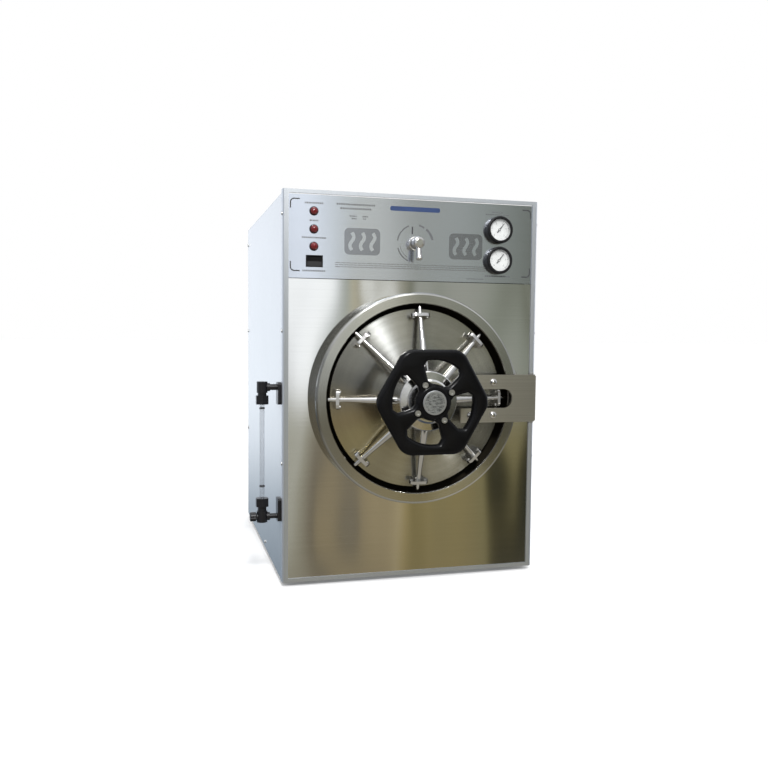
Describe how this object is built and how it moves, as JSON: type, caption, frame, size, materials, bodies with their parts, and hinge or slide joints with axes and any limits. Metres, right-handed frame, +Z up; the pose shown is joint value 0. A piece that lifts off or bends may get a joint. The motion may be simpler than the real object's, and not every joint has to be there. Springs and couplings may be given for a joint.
{
  "type": "benchtop autoclave",
  "caption": "Benchtop steam autoclave: round hinged door locked by radial rods from a central handwheel, control fascia above, water gauge on the side.",
  "frame": {"origin": "on the bench, in the middle of the four foot bolts, under the middle of the cabinet", "axes": "+X to the operator's right, -Y out of the front, +Z up"},
  "size_m": [0.5581, 0.751, 0.7799],
  "materials": {
    "stainless": "brushed",
    "polished_steel": "polished",
    "satin_trim": "satin",
    "blue_white_enamel": "satin",
    "galvanised": "satin",
    "chamber_steel": "satin",
    "black_phenolic": "gloss",
    "black_plastic": "matte",
    "black_fitting": "satin",
    "badge_metal": "satin",
    "bolt_steel": "satin",
    "rubber": "matte",
    "silicone": "satin",
    "mineral_wool": "matte",
    "red_lens": "gloss",
    "dial_white": "matte",
    "clear_glass": "gloss",
    "needle_black": "matte",
    "brass": "satin",
    "copper_pipe": "satin",
    "polythene": "satin"
  },
  "bodies": {
    "cabinet": {"base_tray": "galvanised", "rubber_feet": "rubber", "inner_frame": "galvanised", "left_side_panel": "blue_white_enamel", "right_side_panel": "blue_white_enamel", "top_cover": "blue_white_enamel", "rear_panel": "blue_white_enamel", "front_trim": "satin_trim", "front_panel": "stainless", "control_fascia": "stainless", "panel_screws": "bolt_steel", "chamber_vessel": "chamber_steel", "door_ring": "stainless", "insulation_blanket": "mineral_wool", "heater_element": "chamber_steel", "tray_rack": "chamber_steel", "water_reservoir": "polythene", "hinge_bracket": "stainless", "hinge_pin": "bolt_steel", "lamp_bezels": "black_plastic", "lamp_lenses": "red_lens", "switch_housing": "black_plastic", "selector_valve": "polished_steel", "gauge_cases": "black_plastic", "gauge_dials": "dial_white", "gauge_lenses": "clear_glass", "upper_sight_fitting": "black_fitting", "lower_sight_fitting": "black_fitting", "sight_glass": "clear_glass", "safety_valve": "brass", "steam_pipes": "copper_pipe", "power_inlet": "black_plastic"},
    "door": {"door_disc": "stainless", "door_gasket": "silicone", "hub_housing": "polished_steel", "hub_cover": "polished_steel", "rod_guides": "polished_steel", "hinge_arm": "stainless", "hinge_arm_bolts": "polished_steel"},
    "wheel": {"handwheel": "black_phenolic", "wheel_badge": "badge_metal", "wheel_bolts": "bolt_steel", "wheel_spindle": "bolt_steel", "cam_disc": "bolt_steel"},
    "selector": {"selector_lever": "polished_steel"},
    "rocker": {"rocker_switch": "black_plastic"},
    "chamber_needle": {"chamber_gauge_needle": "needle_black"},
    "jacket_needle": {"jacket_gauge_needle": "needle_black"},
    "drain_cock": {"drain_cock_knob": "black_fitting"},
    "cap": {"filler_cap": "black_plastic"},
    "upper_tray": {"upper_tray": "chamber_steel"},
    "lower_tray": {"lower_tray": "chamber_steel"},
    "rod_1": {"locking_rod_1": "polished_steel"},
    "rod_2": {"locking_rod_2": "polished_steel"},
    "rod_3": {"locking_rod_3": "polished_steel"},
    "rod_4": {"locking_rod_4": "polished_steel"},
    "rod_5": {"locking_rod_5": "polished_steel"},
    "rod_6": {"locking_rod_6": "polished_steel"},
    "rod_7": {"locking_rod_7": "polished_steel"},
    "rod_8": {"locking_rod_8": "polished_steel"}
  },
  "joints": [
    {"name": "door_swing", "type": "hinge", "parent": "cabinet", "child": "door", "pos_m": [0.222, -0.346, 0.35], "axis": [0, 0, 1], "range_deg": [0, 110]},
    {"name": "wheel_turn", "type": "hinge", "parent": "door", "child": "wheel", "pos_m": [0, -0.4, 0.35], "axis": [0, 1, 0], "range_deg": [0, 60]},
    {"name": "rod_1_slide", "type": "slide", "parent": "door", "child": "rod_1", "axis": [0.9511, 0.309, 0], "range_m": [0, 0.01401]},
    {"name": "rod_2_slide", "type": "slide", "parent": "door", "child": "rod_2", "axis": [0.6725, 0.309, 0.6725], "range_m": [0, 0.01401]},
    {"name": "rod_3_slide", "type": "slide", "parent": "door", "child": "rod_3", "axis": [0, 0.309, 0.9511], "range_m": [0, 0.01401]},
    {"name": "rod_4_slide", "type": "slide", "parent": "door", "child": "rod_4", "axis": [-0.6725, 0.309, 0.6725], "range_m": [0, 0.01401]},
    {"name": "rod_5_slide", "type": "slide", "parent": "door", "child": "rod_5", "axis": [-0.9511, 0.309, 0], "range_m": [0, 0.01401]},
    {"name": "rod_6_slide", "type": "slide", "parent": "door", "child": "rod_6", "axis": [-0.6725, 0.309, -0.6725], "range_m": [0, 0.01401]},
    {"name": "rod_7_slide", "type": "slide", "parent": "door", "child": "rod_7", "axis": [0, 0.309, -0.9511], "range_m": [0, 0.01401]},
    {"name": "rod_8_slide", "type": "slide", "parent": "door", "child": "rod_8", "axis": [0.6725, 0.309, -0.6725], "range_m": [0, 0.01401]},
    {"name": "selector_turn", "type": "hinge", "parent": "cabinet", "child": "selector", "pos_m": [0, -0.333, 0.64], "axis": [0, 1, 0], "range_deg": [-90, 180]},
    {"name": "rocker_tip", "type": "hinge", "parent": "cabinet", "child": "rocker", "pos_m": [-0.192, -0.297, 0.6015], "axis": [-1, 0, 0], "range_deg": [0, 14]},
    {"name": "chamber_needle_turn", "type": "hinge", "parent": "cabinet", "child": "chamber_needle", "pos_m": [0.168, -0.3076, 0.672], "axis": [0, 1, 0], "range_deg": [-173, 97], "stiffness_Nm_per_rad": 0.0002},
    {"name": "jacket_needle_turn", "type": "hinge", "parent": "cabinet", "child": "jacket_needle", "pos_m": [0.168, -0.3076, 0.6136], "axis": [0, 1, 0], "range_deg": [-173, 97], "stiffness_Nm_per_rad": 0.0002},
    {"name": "drain_cock_turn", "type": "hinge", "parent": "cabinet", "child": "drain_cock", "pos_m": [-0.301, -0.275, 0.129], "axis": [1, 0, 0], "range_deg": [0, 90]},
    {"name": "cap_lift", "type": "slide", "parent": "cabinet", "child": "cap", "axis": [0, 0, 1], "range_m": [0, 0.04]},
    {"name": "upper_tray_slide", "type": "slide", "parent": "cabinet", "child": "upper_tray", "axis": [0, -1, 0], "range_m": [0, 0.028]},
    {"name": "lower_tray_slide", "type": "slide", "parent": "cabinet", "child": "lower_tray", "axis": [0, -1, 0], "range_m": [0, 0.028]}
  ],
  "couplings": [
    {"joint": "rod_1_slide", "follows": "wheel_turn", "m_per_rad": 0.013369},
    {"joint": "rod_2_slide", "follows": "wheel_turn", "m_per_rad": 0.013369},
    {"joint": "rod_3_slide", "follows": "wheel_turn", "m_per_rad": 0.013369},
    {"joint": "rod_4_slide", "follows": "wheel_turn", "m_per_rad": 0.013369},
    {"joint": "rod_5_slide", "follows": "wheel_turn", "m_per_rad": 0.013369},
    {"joint": "rod_6_slide", "follows": "wheel_turn", "m_per_rad": 0.013369},
    {"joint": "rod_7_slide", "follows": "wheel_turn", "m_per_rad": 0.013369},
    {"joint": "rod_8_slide", "follows": "wheel_turn", "m_per_rad": 0.013369}
  ]
}
